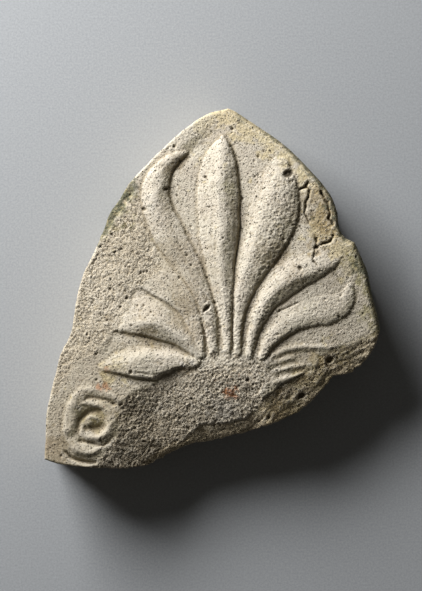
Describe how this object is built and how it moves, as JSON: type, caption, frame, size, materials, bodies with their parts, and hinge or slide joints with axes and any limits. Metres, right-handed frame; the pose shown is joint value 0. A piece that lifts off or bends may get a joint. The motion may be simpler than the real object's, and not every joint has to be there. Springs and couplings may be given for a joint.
{
  "type": "antefix",
  "caption": "Broken terracotta roof antefix with a palmette of leaves in relief and one spiral scroll, lying on its flat back.",
  "frame": {"origin": "centre of the outline's bounding box, on the plane of the flat back", "axes": "+Y from the foot towards the pointed top, +Z out of the carved face, +X to the right seen from the front"},
  "size_m": [0.1686, 0.181, 0.0427],
  "materials": {
    "terracotta": "unglazed, dry, matt and gritty, weathered and stained"
  },
  "bodies": {
    "root": {"antefix": "terracotta"}
  },
  "joints": []
}
